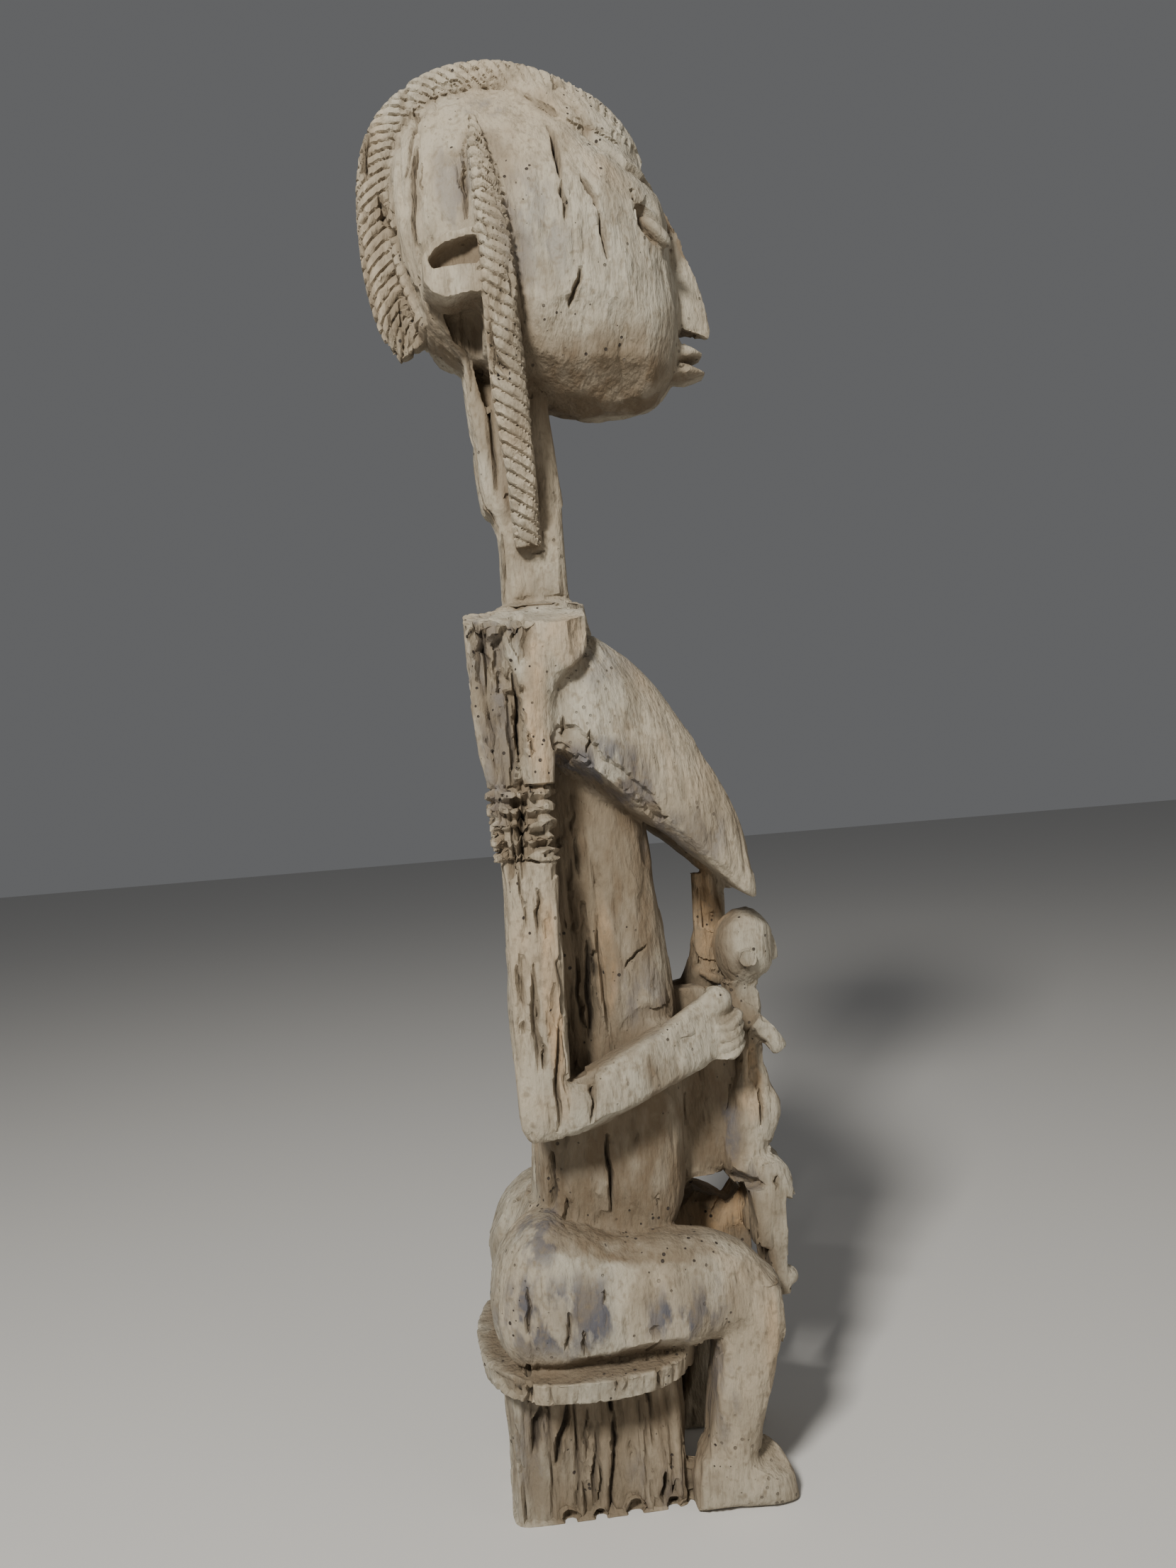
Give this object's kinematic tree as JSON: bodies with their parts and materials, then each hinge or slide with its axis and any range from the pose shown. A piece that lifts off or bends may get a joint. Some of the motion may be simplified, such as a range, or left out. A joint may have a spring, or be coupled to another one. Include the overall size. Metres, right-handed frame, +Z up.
{
  "type": "african maternity figure",
  "caption": "Seated mother holding a child on her lap, with a crested head on a long neck, carved with her round stool from one block of weathered wood.",
  "frame": {"origin": "on the ground under the middle of the figure's bounding box", "axes": "+Z up, +X the way the mother and child face, +Y the mother's left"},
  "size_m": [0.2588, 0.184, 0.998],
  "materials": {
    "weathered_wood": "bare, dry, eroded wood, grey to tan, with open splits and worm holes"
  },
  "bodies": {
    "root": {"maternity_figure": "weathered_wood"}
  },
  "joints": []
}
